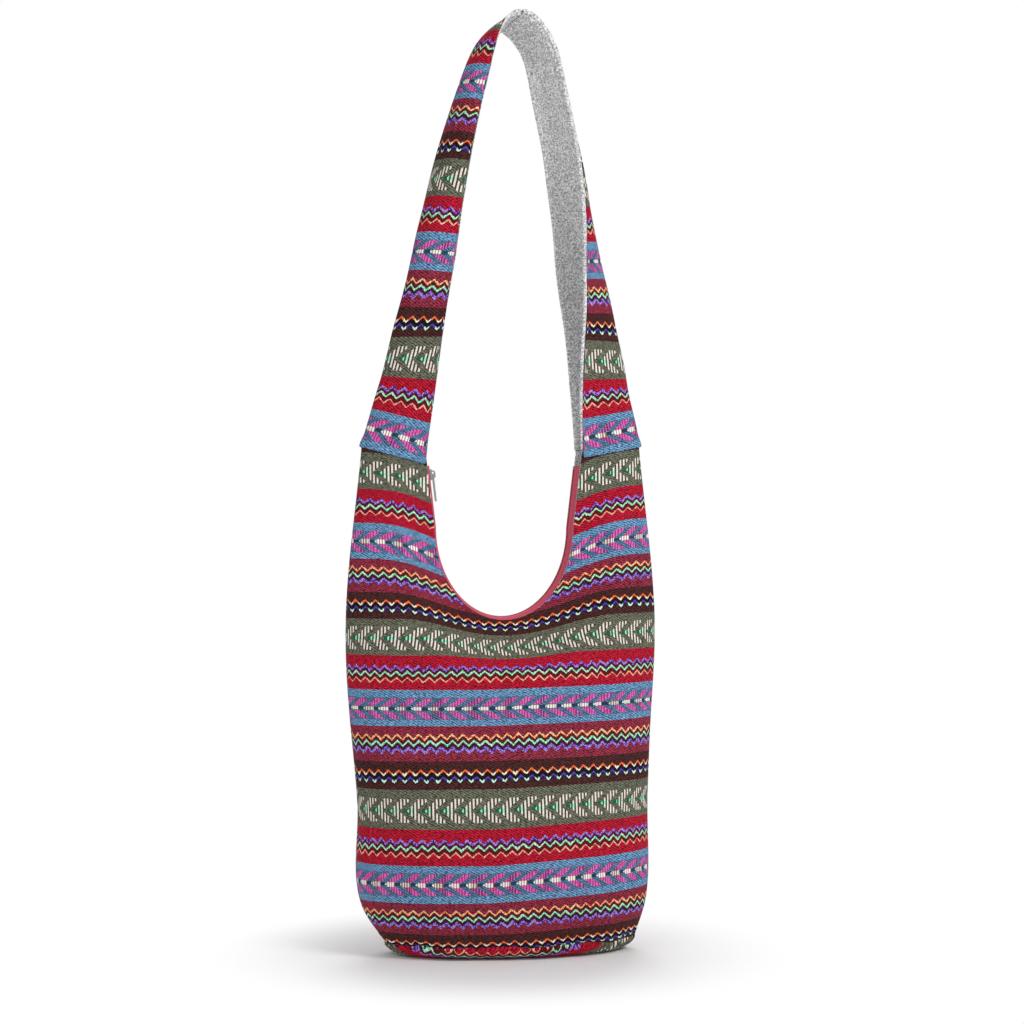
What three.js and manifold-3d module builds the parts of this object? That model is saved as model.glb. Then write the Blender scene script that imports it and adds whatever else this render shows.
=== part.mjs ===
// A woven sling shoulder bag, standing full on the floor with its strap loop held up.
// Millimetres, +Z up. The front faces -Y, and the origin lies on the floor under the middle of the bag.
import * as THREE from "three";
import { mergeVertices } from "three/addons/utils/BufferGeometryUtils.js";
import Module from "manifold-3d";

// Cloth, and the gap left at every seam
const CLOTH = 1.6;
const LINING = 0.8;
const SEAM_GAP = 0.3;

// Base: an oval dish whose rounded edge rises to the base seam
const BASE_SEAM_HEIGHT = 14;
const BASE_HALF_WIDTH = 125;
const BASE_HALF_DEPTH = 60;
const BASE_EDGE_REACH = 26;
const BASE_SHIFT = 8;

// Body above the base seam, as half widths and half depths at named heights
const HIP_HEIGHT = 50;
const HIP_HALF_WIDTH = 142;
const HIP_HALF_DEPTH = 71;
const BELLY_HEIGHT = 150;
const BELLY_HALF_WIDTH = 145;
const BELLY_HALF_DEPTH = 75;
const WAIST_ABOVE_BELLY = 88;
const WAIST_HALF_DEPTH = 57;
const SAG_BELOW_MOUTH = 43.5;
const SAG_HALF_DEPTH = 59;
const RIM_HALF_WIDTH = 155;
const ARM_HALF_DEPTH = 38;
const SHOULDER_HALF_WIDTH = 140;
const SHOULDER_HALF_DEPTH = 27;

// Mouth: a scoop with an elliptical bottom and nearly straight sides
const MOUTH_HEIGHT = 331.5;
const MOUTH_HALF_WIDTH = 70;
const MOUTH_ROUND = 92;
const SHOULDER_ABOVE_MOUTH = 169.5;
const SHOULDER_HALF_GAP = 79;
const HEM = 6;
const PINCH_REACH = 60;

// Strap loop
const STRAP_RISE = 434;
const STRAP_MIDDLE_WIDTH = 54;
const STRAP_WIDTH = 43;
const STRAP_BOW = 6;
const STRAP_TWIST_DEGREES = 20;
const STRAP_TWIST_RISE = 200;
const STRAP_LEAN = 13;
const STRAP_ROLL_DEGREES = 22;

// Zip
const ZIP_HALF_GAP = 15;
const ZIP_END_BELOW_SHOULDER = 16;
const TAPE = 0.6;
const TAPE_INSET = 1;
const ZIP_ARCH = 4;
const ZIP_FLAT_HALF_WIDTH = 5.8;
const COIL_WIDTH = 2.1;
const COIL_HEIGHT = 2.4;
const COIL_SLOT = 1;
const STOP_LENGTH = 3;
const SLIDER_LENGTH = 11;
const SLIDER_WIDTH = 10;
const SLIDER_PLATE = 1.2;
const SLIDER_POST = 0.4;
const SLIDER_CLEARANCE = 0.4;
const CROWN_WIDTH = 2.4;
const CROWN_LENGTH = 8;
const CROWN_BAND = 1.4;
const CROWN_SLOT_HEIGHT = 2.4;
const PULL_LENGTH = 27;
const PULL_WIDTH = 7;
const PULL_THICKNESS = 1.2;
const PULL_BAR = 1.4;

const shoulderHeight = MOUTH_HEIGHT + SHOULDER_ABOVE_MOUTH;
const roundTop = MOUTH_HEIGHT + MOUTH_ROUND;
const apexHeight = shoulderHeight + STRAP_RISE;
const clothSpan = [SEAM_GAP / 2, SEAM_GAP / 2 + CLOTH];
const liningSpan = [-SEAM_GAP / 2 - LINING, -SEAM_GAP / 2];
const lerp = THREE.MathUtils.lerp;
const smoothstep = THREE.MathUtils.smoothstep;

// A smooth curve of a value over a position, through the given [position, value] pairs.
function profile(pairs) {
  const spline = new THREE.CubicInterpolant(
    pairs.map((pair) => pair[0]),
    pairs.map((pair) => pair[1]),
    1,
  );
  return (position) => spline.evaluate(position)[0];
}

const halfWidthAt = profile([
  [BASE_SEAM_HEIGHT, BASE_HALF_WIDTH],
  [HIP_HEIGHT, HIP_HALF_WIDTH],
  [BELLY_HEIGHT, BELLY_HALF_WIDTH],
  [MOUTH_HEIGHT, RIM_HALF_WIDTH],
  [shoulderHeight, SHOULDER_HALF_WIDTH],
]);
const halfDepthAt = profile([
  [BASE_SEAM_HEIGHT, BASE_HALF_DEPTH],
  [HIP_HEIGHT, HIP_HALF_DEPTH],
  [BELLY_HEIGHT, BELLY_HALF_DEPTH],
  [BELLY_HEIGHT + WAIST_ABOVE_BELLY, WAIST_HALF_DEPTH],
  [MOUTH_HEIGHT - SAG_BELOW_MOUTH, SAG_HALF_DEPTH],
  [lerp(MOUTH_HEIGHT, shoulderHeight, 0.4), ARM_HALF_DEPTH],
  [shoulderHeight, SHOULDER_HALF_DEPTH],
]);

// The base sits a little to the right, and the body swings back over the middle as it rises.
const baseShiftAt = profile([
  [BASE_SEAM_HEIGHT, BASE_SHIFT],
  [HIP_HEIGHT, 0.35 * BASE_SHIFT],
  [BELLY_HEIGHT, 0.25 * BASE_SHIFT],
  [BELLY_HEIGHT + WAIST_ABOVE_BELLY, 0],
  [MOUTH_HEIGHT, 0],
]);

// Half the width of the mouth at a height.
function mouthHalfWidth(z) {
  if (z <= MOUTH_HEIGHT) return 0;
  if (z >= roundTop) {
    return lerp(MOUTH_HALF_WIDTH, SHOULDER_HALF_GAP, (z - roundTop) / (shoulderHeight - roundTop));
  }
  const drop = (roundTop - z) / MOUTH_ROUND;
  return MOUTH_HALF_WIDTH * Math.sqrt(1 - drop * drop);
}

// How far a point of the front view lies outside the mouth's edge.
function mouthDistance(x, z) {
  if (z >= roundTop) return Math.abs(x) - mouthHalfWidth(z);
  const p = x / MOUTH_HALF_WIDTH;
  const q = (z - roundTop) / MOUTH_ROUND;
  const ratio = Math.hypot(p, q);
  const slope = Math.hypot(p / MOUTH_HALF_WIDTH, q / MOUTH_ROUND) / ratio;
  return (ratio - 1) / slope;
}

// Half the depth of the body at a place in the front view: an oval section that the zip pinches at the mouth.
function bodyDepth(x, z) {
  const across = Math.min(Math.abs(x) / halfWidthAt(z), 1);
  const oval = halfDepthAt(z) * Math.sqrt(1 - across * across);
  const reach = Math.min(PINCH_REACH, halfWidthAt(z) - mouthHalfWidth(z));
  return lerp(ZIP_HALF_GAP, oval, smoothstep(mouthDistance(x, z), 0, reach));
}

// A thin solid on a grid of points: rows[j][i], with the solid between two offsets along the grid's normals.
// The pin function may turn a normal at an edge into the plane of the seam there.
function sheet(rows, [inner, outer], pin = () => {}) {
  const last = rows[0].length - 1;
  const top = rows.length - 1;
  const positions = [];
  for (const offset of [inner, outer]) {
    rows.forEach((row, j) =>
      row.forEach((point, i) => {
        const along = row[Math.min(i + 1, last)].clone().sub(row[Math.max(i - 1, 0)]);
        const up = rows[Math.min(j + 1, top)][i].clone().sub(rows[Math.max(j - 1, 0)][i]);
        const normal = along.cross(up);
        pin(normal, i, j);
        normal.normalize();
        positions.push(...point.clone().addScaledVector(normal, offset));
      }),
    );
  }
  const faces = [];
  const layer = rows.length * (last + 1);
  const quad = (a, b, c, d) => faces.push(a, b, c, a, c, d);
  for (let j = 0; j <= top; j++) {
    for (let i = 0; i <= last; i++) {
      const a = j * (last + 1) + i;
      const right = a + 1;
      const above = a + last + 1;
      if (i < last && j < top) {
        const corners = [a, right, above + 1, above];
        if (2 * i >= last) corners.push(corners.shift());
        quad(...corners.map((corner) => layer + corner));
        const [p, q, r, s] = corners;
        faces.push(p, r, q, p, s, r);
      }
      if (i < last && j === 0) quad(a, right, layer + right, layer + a);
      if (i < last && j === top) quad(right, a, layer + a, layer + right);
      if (j < top && i === 0) quad(above, a, layer + a, layer + above);
      if (j < top && i === last) quad(a, above, layer + above, layer + a);
    }
  }
  const geometry = new THREE.BufferGeometry();
  geometry.setAttribute("position", new THREE.Float32BufferAttribute(positions, 3));
  geometry.setIndex(faces);
  geometry.computeVertexNormals();
  return geometry;
}

// The strap's midline in the plane of the bag, from the left shoulder over the apex to the right shoulder.
const loopShape = [
  [0, 1],
  [0.14, 0.94],
  [0.35, 0.94],
  [0.62, 0.8],
  [0.83, 0.55],
  [0.95, 0.34],
];
const rising = loopShape.map(
  ([rise, spread]) =>
    new THREE.Vector3(-spread * SHOULDER_HALF_GAP, 0, shoulderHeight + rise * (STRAP_RISE - STRAP_BOW)),
);
const falling = rising.map((point) => new THREE.Vector3(-point.x, 0, point.z)).reverse();
const loop = new THREE.CatmullRomCurve3([
  ...rising,
  new THREE.Vector3(0, 0, apexHeight - STRAP_BOW),
  ...falling,
]);

// The shoulder seam crosses the arm at right angles to the strap, so it climbs towards the side fold.
const shoulderWidth = SHOULDER_HALF_WIDTH - SHOULDER_HALF_GAP;
const start = loop.getTangentAt(0);
const shoulderClimb = (shoulderWidth * start.x) / start.z;

// A point of an arm's skin at a height. The turn runs from -90 degrees at the front edge, over 0 at the side fold,
// to 90 degrees at the back edge.
function armPoint(side, turn, z) {
  const edge = mouthHalfWidth(z);
  const x = edge + (halfWidthAt(z) - edge) * Math.cos(turn);
  const y = Math.sign(turn) * (bodyDepth(x, z) + SEAM_GAP / 2);
  return new THREE.Vector3(side * x, y, z);
}
const shoulderZ = (turn) => shoulderHeight + shoulderClimb * Math.cos(turn);

// The outline that the body shows from the front, as columns from the base seam up to the arms and the mouth's edge.
const armColumns = 6;
const mouthColumns = 14;
const bodyRows = [0, 0.05, 0.12, 0.2, 0.28, 0.36, 0.44, 0.52, 0.6, 0.67, 0.73, 0.79, 0.84, 0.88, 0.92, 0.95];

function mouthEdge(inset, endHeight, straightSteps, roundSteps) {
  const points = [];
  for (let k = 0; k < straightSteps; k++) {
    const z = lerp(endHeight, roundTop, k / straightSteps);
    points.push(new THREE.Vector2(-mouthHalfWidth(z) - inset, z));
  }
  for (let k = 0; k <= roundSteps; k++) {
    const angle = Math.PI * (1 + k / roundSteps);
    points.push(
      new THREE.Vector2(
        (MOUTH_HALF_WIDTH + inset) * Math.cos(angle),
        roundTop + (MOUTH_ROUND + inset) * Math.sin(angle),
      ),
    );
  }
  for (let k = 1; k <= straightSteps; k++) {
    const z = lerp(roundTop, endHeight, k / straightSteps);
    points.push(new THREE.Vector2(mouthHalfWidth(z) + inset, z));
  }
  return points;
}

function bodyColumns() {
  const arm = [];
  for (let k = 0; k < armColumns; k++) {
    const turn = (Math.PI / 2) * (k / armColumns);
    const z = shoulderZ(turn) - SEAM_GAP / 2;
    const x = armPoint(1, turn, z).x;
    arm.push({ top: new THREE.Vector2(-x, z), share: Math.min(x / halfWidthAt(z), 1) });
  }
  arm[0].share = 1;
  const edge = mouthEdge(0, shoulderHeight - SEAM_GAP / 2, 2, mouthColumns - 4);
  const corner = SHOULDER_HALF_GAP / SHOULDER_HALF_WIDTH;
  const mouth = edge.map((top, k) => ({
    top,
    foot: lerp(-corner, corner, k / mouthColumns),
    share: top.x / halfWidthAt(top.y),
  }));
  const left = arm.map(({ top, share }) => ({ top, share: -share, foot: -share }));
  const right = arm
    .map(({ top, share }) => ({ top: new THREE.Vector2(-top.x, top.y), share, foot: share }))
    .reverse();
  return [...left, ...mouth, ...right];
}

// The grid of one body face, from the base seam up: face -1 is the front and 1 the back.
function bodyGrid(face) {
  const foot = BASE_SEAM_HEIGHT + SEAM_GAP / 2;
  const columns = bodyColumns();
  if (face > 0) columns.reverse();
  const hemRow = (column) => 1 - HEM / (column.top.y - foot);
  return [...bodyRows, hemRow, () => 1].map((share) =>
    columns.map((column) => {
      const climb = typeof share === "function" ? share(column) : share;
      const z = lerp(foot, column.top.y, climb);
      const across = lerp(column.foot, column.share, climb);
      const x = across * halfWidthAt(z);
      return new THREE.Vector3(x + baseShiftAt(z), face * (bodyDepth(x, z) + SEAM_GAP / 2), z);
    }),
  );
}
const lastColumn = 2 * armColumns + mouthColumns;
function pinBody(normal, i, j) {
  if (i === 0 || i === lastColumn) normal.y = 0;
  if (j === 0) normal.z = 0;
}

// Strap: a deep fold at each shoulder that opens into a shallow bowed band at the apex.
// The right side stays folded deeper and higher up than the left. Shares run round the loop from left to right.
const foldDepthAt = profile([
  [0, shoulderWidth],
  [0.07, 0.86 * shoulderWidth],
  [0.17, 0.6 * shoulderWidth],
  [0.31, 0.3 * shoulderWidth],
  [0.41, lerp(STRAP_BOW, 0.3 * shoulderWidth, 0.5)],
  [0.5, STRAP_BOW],
  [0.585, lerp(STRAP_BOW, 0.3 * shoulderWidth, 0.1)],
  [0.67, 0.22 * shoulderWidth],
  [0.78, 0.54 * shoulderWidth],
  [0.85, 0.7 * shoulderWidth],
  [0.93, 0.86 * shoulderWidth],
  [1, shoulderWidth],
]);
const openingAt = profile([
  [0, 2 * ZIP_HALF_GAP],
  [0.07, lerp(2 * ZIP_HALF_GAP, STRAP_MIDDLE_WIDTH, 0.2)],
  [0.17, lerp(2 * ZIP_HALF_GAP, STRAP_MIDDLE_WIDTH, 0.6)],
  [0.3, STRAP_MIDDLE_WIDTH],
  [0.41, lerp(STRAP_MIDDLE_WIDTH, STRAP_WIDTH, 0.8)],
  [0.5, STRAP_WIDTH],
  [0.585, 0.93 * STRAP_WIDTH],
  [0.67, 0.98 * STRAP_WIDTH],
  [0.78, lerp(2 * ZIP_HALF_GAP, STRAP_MIDDLE_WIDTH, 0.66)],
  [0.85, lerp(2 * ZIP_HALF_GAP, STRAP_MIDDLE_WIDTH, 0.55)],
  [0.93, lerp(2 * ZIP_HALF_GAP, STRAP_MIDDLE_WIDTH, 0.2)],
  [1, 2 * ZIP_HALF_GAP],
]);
// How far the band rolls about its own length, as a share of the full roll.
const rollAt = profile([
  [0, 0],
  [0.4, 0],
  [0.5, 0.5],
  [0.58, 0.8],
  [0.68, 0.7],
  [0.8, 0.15],
  [0.88, 0],
  [1, 0],
]);
const strapRows = 16;
const strapColumns = 10;

function strapSection(side, length, turn) {
  const reach = side < 0 ? length / 2 : 1 - length / 2;
  const centre = loop.getPointAt(reach);
  const tangent = loop.getTangentAt(reach);
  const out = new THREE.Vector3(-tangent.z, 0, tangent.x);
  const middle = new THREE.Vector2(foldDepthAt(reach) / 2, 0);
  const section = new THREE.Vector2(foldDepthAt(reach) * Math.cos(turn), 0.5 * openingAt(reach) * Math.sin(turn));
  section.rotateAround(middle, THREE.MathUtils.degToRad(STRAP_ROLL_DEGREES) * rollAt(reach));
  const point = centre.addScaledVector(out, section.x);
  point.y += section.y;
  return point;
}

function strapGrid(side) {
  const turns = [];
  for (let i = 0; i <= strapColumns; i++) {
    turns.push(side * Math.PI * (i / strapColumns - 0.5));
  }
  const rows = [];
  for (let j = 0; j <= strapRows; j++) {
    const length = j / strapRows;
    const settle = 1 - smoothstep(length, 0, 0.25);
    const row = turns.map((turn) => {
      const shoulder = armPoint(side, turn, shoulderZ(turn));
      const shift = shoulder.sub(strapSection(side, 0, turn));
      const point = strapSection(side, length, turn).addScaledVector(shift, settle);
      if (j === 0) point.z += SEAM_GAP / 2;
      if (j === strapRows) point.x = (side * SEAM_GAP) / 2;
      return point;
    });
    rows.push(row);
  }
  return rows;
}
function pinStrap(normal, i, j) {
  if (j === strapRows) normal.x = 0;
}

// Twists the loop about the upright axis and leans it sideways, more with height.
const leanAt = profile([
  [0, 0],
  [0.14, 0.25],
  [0.3, 0.4],
  [0.62, 0.7],
  [0.83, 0.9],
  [1, 1],
]);
function sway(geometry) {
  const position = geometry.attributes.position;
  const point = new THREE.Vector3();
  const axis = new THREE.Vector3(0, 0, 1);
  for (let k = 0; k < position.count; k++) {
    point.fromBufferAttribute(position, k);
    const rise = Math.max(point.z - shoulderHeight, 0);
    const turn = THREE.MathUtils.degToRad(STRAP_TWIST_DEGREES) * smoothstep(rise, 0, STRAP_TWIST_RISE);
    point.applyAxisAngle(axis, turn);
    point.x += STRAP_LEAN * leanAt(Math.min(rise / STRAP_RISE, 1));
    position.setXYZ(k, point.x, point.y, point.z);
  }
  geometry.computeVertexNormals();
  return geometry;
}

// An oval dish with a flat floor and an edge that curves up to the seam, between two depths measured in from the outer skin.
function dish(outer, inner) {
  const steps = 40;
  const bends = [0, 0.3, 0.55, 0.78, 1];
  const round = BASE_SEAM_HEIGHT;
  const floorRings = [0.5];
  const ring = (depth, bend) => {
    const angle = (Math.PI / 2) * bend;
    const inset = depth + (BASE_EDGE_REACH - depth) * (1 - Math.sin(angle));
    const z = bend === 1 ? round - SEAM_GAP / 2 : round - (round - depth) * Math.cos(angle);
    return { inset, z, scale: 1 };
  };
  const floor = (depth) => floorRings.map((scale) => ({ inset: BASE_EDGE_REACH, z: depth, scale }));
  const outside = [...floor(outer), ...bends.map((bend) => ring(outer, bend))];
  const inside = [...floor(inner), ...bends.map((bend) => ring(inner, bend))].reverse();
  const rings = [...outside, ...inside];
  const positions = [BASE_SHIFT, 0, outer];
  const faces = [];
  for (const { inset, z, scale } of rings) {
    const a = scale * (BASE_HALF_WIDTH + clothSpan[1] - inset);
    const b = scale * (BASE_HALF_DEPTH + clothSpan[1] + SEAM_GAP / 2 - inset);
    for (let k = 0; k < steps; k++) {
      const angle = (2 * Math.PI * k) / steps;
      positions.push(BASE_SHIFT + a * Math.cos(angle), b * Math.sin(angle), z);
    }
  }
  positions.push(BASE_SHIFT, 0, inner);
  const pole = positions.length / 3 - 1;
  const lastRing = 1 + (rings.length - 1) * steps;
  for (let k = 0; k < steps; k++) {
    const next = (k + 1) % steps;
    faces.push(0, 1 + next, 1 + k, pole, lastRing + k, lastRing + next);
    for (let r = 0; r < rings.length - 1; r++) {
      const a = 1 + r * steps;
      const b = a + steps;
      faces.push(a + k, a + next, b + next, a + k, b + next, b + k);
    }
  }
  const geometry = new THREE.BufferGeometry();
  geometry.setAttribute("position", new THREE.Float32BufferAttribute(positions, 3));
  geometry.setIndex(faces);
  geometry.computeVertexNormals();
  return geometry;
}

// Zip: two tapes that arch up between the mouth's edges, each with its coil, and a slot between the coils for the
// slider's post.
const zipEnd = shoulderHeight - ZIP_END_BELOW_SHOULDER;
const coilEnd = zipEnd - STOP_LENGTH - SEAM_GAP;
const coilOuter = COIL_SLOT / 2 + COIL_WIDTH;
const tapeEdge = ZIP_HALF_GAP - LINING - SEAM_GAP;
const tapeInset = TAPE_INSET + TAPE / 2;

// A strip along the mouth, from lines at [y, lift] places: the lift brings a line out of the mouth.
function zipStrip(endHeight, lines, thickness) {
  const tracks = lines.map(([y, lift]) =>
    mouthEdge(tapeInset - lift, endHeight, 1, 20).map((point) => new THREE.Vector3(point.x, y, point.y)),
  );
  const rows = tracks[0].map((point, k) => tracks.map((track) => track[k]));
  return sheet(rows, [-thickness / 2, thickness / 2]);
}

// A group on the straight part of the zip: x runs down the track, y to the back, z out of the mouth.
function trackGroup(side, height) {
  const inset = tapeInset - ZIP_ARCH;
  const low = new THREE.Vector3(side * (MOUTH_HALF_WIDTH + inset), 0, roundTop);
  const high = new THREE.Vector3(side * (mouthHalfWidth(zipEnd) + inset), 0, zipEnd);
  const down = low.clone().sub(high).normalize();
  const back = new THREE.Vector3(0, -side, 0);
  const group = new THREE.Group();
  const share = (height - roundTop) / (zipEnd - roundTop);
  group.position.lerpVectors(low, high, share);
  group.setRotationFromMatrix(new THREE.Matrix4().makeBasis(down, back, down.clone().cross(back)));
  return group;
}

const wasm = await Module();
wasm.setup();

function toSolid(source) {
  const geometry = source.clone();
  geometry.deleteAttribute("normal");
  geometry.deleteAttribute("uv");
  const welded = mergeVertices(geometry, 1e-4);
  const mesh = new wasm.Mesh({
    numProp: 3,
    vertProperties: new Float32Array(welded.attributes.position.array),
    triVerts: new Uint32Array(welded.index.array),
  });
  return new wasm.Manifold(mesh);
}

function toGeometry(solid) {
  const mesh = solid.getMesh();
  const geometry = new THREE.BufferGeometry();
  geometry.setAttribute("position", new THREE.Float32BufferAttribute(mesh.vertProperties, 3));
  geometry.setIndex(new THREE.Uint32BufferAttribute(mesh.triVerts, 1));
  return geometry;
}

function extrude(points, depth) {
  const shape = new THREE.Shape(points.map(([x, y]) => new THREE.Vector2(x, y)));
  return new THREE.ExtrudeGeometry(shape, { depth, bevelEnabled: false });
}

// Slider: two plates with turned-in lips, joined by a post between the coils, and a crown that holds the pull.
const plateInner = COIL_HEIGHT / 2 + SLIDER_CLEARANCE;
const plateOuter = plateInner + SLIDER_PLATE;
const barAxis = plateOuter + CROWN_SLOT_HEIGHT / 2;

function sliderGeometry() {
  const lipInner = coilOuter + SLIDER_CLEARANCE;
  const lipGap = TAPE / 2 + SLIDER_CLEARANCE;
  const half = SLIDER_WIDTH / 2;
  const quarter = [
    [half, plateOuter],
    [half, lipGap],
    [lipInner, lipGap],
    [lipInner, plateInner],
    [SLIDER_POST / 2, plateInner],
  ];
  const right = [...quarter, ...quarter.map(([y, z]) => [y, -z]).reverse()];
  const left = right.map(([y, z]) => [-y, z]).reverse();
  const x = new THREE.Vector3(1, 0, 0);
  const y = new THREE.Vector3(0, 1, 0);
  const z = new THREE.Vector3(0, 0, 1);
  const channel = extrude([...right, ...left], SLIDER_LENGTH);
  channel.translate(0, 0, -SLIDER_LENGTH / 2);
  channel.applyMatrix4(new THREE.Matrix4().makeBasis(y, z, x));
  const outer = CROWN_LENGTH / 2;
  const inner = outer - CROWN_BAND;
  const foot = plateOuter - SLIDER_PLATE / 2;
  const roof = plateOuter + CROWN_SLOT_HEIGHT;
  const crown = extrude(
    [
      [outer, foot],
      [outer, roof],
      [inner, roof + CROWN_BAND],
      [-inner, roof + CROWN_BAND],
      [-outer, roof],
      [-outer, foot],
      [-inner, foot],
      [-inner, roof],
      [inner, roof],
      [inner, foot],
    ],
    CROWN_WIDTH,
  );
  crown.translate(0, 0, -CROWN_WIDTH / 2);
  crown.applyMatrix4(new THREE.Matrix4().makeBasis(x, z, y.clone().negate()));
  return toGeometry(toSolid(channel).add(toSolid(crown)));
}

// Pull: a flat tab with a window whose end bar lies under the crown.
function pullGeometry() {
  const half = PULL_WIDTH / 2;
  const windowHalf = CROWN_WIDTH / 2 + SLIDER_CLEARANCE;
  const windowEnd = CROWN_LENGTH / 2 + CROWN_BAND + SLIDER_CLEARANCE;
  const shape = new THREE.Shape();
  shape.moveTo(-PULL_BAR / 2, -half);
  shape.lineTo(PULL_LENGTH - half, -half);
  shape.absarc(PULL_LENGTH - half, 0, half, -Math.PI / 2, Math.PI / 2, false);
  shape.lineTo(-PULL_BAR / 2, half);
  const gap = new THREE.Path();
  gap.moveTo(PULL_BAR / 2, -windowHalf);
  gap.lineTo(PULL_BAR / 2, windowHalf);
  gap.lineTo(windowEnd, windowHalf);
  gap.lineTo(windowEnd, -windowHalf);
  shape.holes.push(gap);
  const geometry = new THREE.ExtrudeGeometry(shape, {
    depth: PULL_THICKNESS,
    bevelEnabled: false,
    curveSegments: 8,
  });
  return geometry.translate(0, 0, -PULL_THICKNESS / 2);
}

const cloth = new THREE.MeshStandardMaterial({ color: 0x8e3545, roughness: 0.95, metalness: 0 });
const liningCloth = new THREE.MeshStandardMaterial({ color: 0x97979a, roughness: 0.95, metalness: 0 });
const tapeCloth = new THREE.MeshStandardMaterial({ color: 0xb52a48, roughness: 0.9, metalness: 0 });
const coilPlastic = new THREE.MeshStandardMaterial({ color: 0xa3223f, roughness: 0.5, metalness: 0 });
const metal = new THREE.MeshStandardMaterial({ color: 0xc4c4c8, roughness: 0.3, metalness: 1 });

const bag = new THREE.Group();
function place(name, geometry, material, parent = bag) {
  const mesh = new THREE.Mesh(geometry, material);
  mesh.name = name;
  parent.add(mesh);
}

const frontGrid = bodyGrid(-1);
const backGrid = bodyGrid(1);
place("front_panel", sheet(frontGrid, clothSpan, pinBody), cloth);
place("back_panel", sheet(backGrid, clothSpan, pinBody), cloth);
place("front_lining", sheet(frontGrid, liningSpan, pinBody), liningCloth);
place("back_lining", sheet(backGrid, liningSpan, pinBody), liningCloth);
place("base_panel", dish(0, CLOTH), cloth);
place("base_lining", dish(CLOTH + SEAM_GAP, CLOTH + SEAM_GAP + LINING), liningCloth);

const leftGrid = strapGrid(-1);
const rightGrid = strapGrid(1);
place("left_strap", sway(sheet(leftGrid, clothSpan, pinStrap)), cloth);
place("right_strap", sway(sheet(rightGrid, clothSpan, pinStrap)), cloth);
place("left_strap_lining", sway(sheet(leftGrid, liningSpan, pinStrap)), liningCloth);
place("right_strap_lining", sway(sheet(rightGrid, liningSpan, pinStrap)), liningCloth);

const tapeInner = coilOuter + SEAM_GAP;
const backTape = [
  [tapeInner, ZIP_ARCH],
  [ZIP_FLAT_HALF_WIDTH, ZIP_ARCH],
  [tapeEdge, 0],
];
const backCoil = [
  [COIL_SLOT / 2, ZIP_ARCH],
  [coilOuter, ZIP_ARCH],
];
const mirrored = (lines) => lines.map(([y, lift]) => [-y, lift]).reverse();
place("zip_tape_front", zipStrip(zipEnd, mirrored(backTape), TAPE), tapeCloth);
place("zip_tape_back", zipStrip(zipEnd, backTape, TAPE), tapeCloth);
place("zip_coil_front", zipStrip(coilEnd, mirrored(backCoil), COIL_HEIGHT), coilPlastic);
place("zip_coil_back", zipStrip(coilEnd, backCoil, COIL_HEIGHT), coilPlastic);

// Stops stand on the tape ends, above the ends of the coils.
const topStops = trackGroup(-1, zipEnd - STOP_LENGTH / 2);
const stopMiddle = (COIL_SLOT + COIL_WIDTH) / 2;
for (const [name, y] of [
  ["zip_top_stop_front", -stopMiddle],
  ["zip_top_stop_back", stopMiddle],
]) {
  const stop = new THREE.BoxGeometry(STOP_LENGTH, COIL_WIDTH, COIL_HEIGHT).translate(0, y, 0);
  place(name, stop, metal, topStops);
}
const bottomStop = trackGroup(1, zipEnd - STOP_LENGTH / 2);
place("zip_bottom_stop", new THREE.BoxGeometry(STOP_LENGTH, 2 * coilOuter, COIL_HEIGHT), metal, bottomStop);
bag.add(topStops, bottomStop);

const sliderHeight = coilEnd - SLIDER_LENGTH / 2 - SEAM_GAP;
const slider = trackGroup(-1, sliderHeight);
place("zip_slider", sliderGeometry(), metal, slider);
const pull = new THREE.Group();
pull.position.z = barAxis;
place("zip_pull", pullGeometry(), metal, pull);
slider.add(pull);
bag.add(slider);

export default bag;
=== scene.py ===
"""A striped jacquard sling bag, standing full, with its strap loop held up."""

import math

import bmesh
import bpy
import numpy as np
from mathutils import Matrix, Vector, noise


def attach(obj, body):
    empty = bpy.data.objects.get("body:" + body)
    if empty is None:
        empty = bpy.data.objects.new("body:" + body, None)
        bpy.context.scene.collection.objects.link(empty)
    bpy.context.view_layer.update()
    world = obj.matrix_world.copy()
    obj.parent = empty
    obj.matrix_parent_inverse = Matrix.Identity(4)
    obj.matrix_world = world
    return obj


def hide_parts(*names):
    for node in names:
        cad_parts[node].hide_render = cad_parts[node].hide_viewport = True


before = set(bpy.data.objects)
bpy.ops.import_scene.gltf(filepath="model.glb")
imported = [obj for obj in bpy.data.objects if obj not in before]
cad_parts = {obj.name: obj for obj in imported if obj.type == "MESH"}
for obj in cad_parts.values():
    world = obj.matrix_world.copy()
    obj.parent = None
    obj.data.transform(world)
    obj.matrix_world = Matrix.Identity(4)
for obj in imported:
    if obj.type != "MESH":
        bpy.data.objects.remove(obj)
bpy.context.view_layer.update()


# Striped cloth: a heavy cotton jacquard in five bands, blue, red, olive, brown and wine, that repeat up it.
# Zigzag lines cross the red, brown and wine bands, and rows of arrowheads the blue and olive ones.
# Each sheet carries its own lengths in millimetres, across and up the cloth, and the weave is drawn on those.

THREAD = 0.885
REPEAT = 172.0
BLUE_TOP, RED_TOP, OLIVE_TOP, BROWN_TOP = 36.5, 72.5, 110.0, 137.5
ZIGZAG_HALF, ZIGZAG_RISE = 5.4, 4.9
OLIVE_PITCH, OLIVE_MIDDLE, OLIVE_HALF_HEIGHT = 20 * THREAD, RED_TOP + 17.4, 11.6
BLUE_PITCH, BLUE_MIDDLE, BLUE_HALF_HEIGHT = 16.4, 17.9, 10.8
BLUE_COLUMN, BLUE_FLOAT, BLUE_HEART_END = 2.6, 1.5, 10.6
TWILL_SLOPE, TWILL_HALF = 0.55, 1.25
STREAK_TONE, GRAIN_TONE, TWILL_TONE, DARKEST_TONE = 3.6, 1.1, 1.2, 0.15


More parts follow.
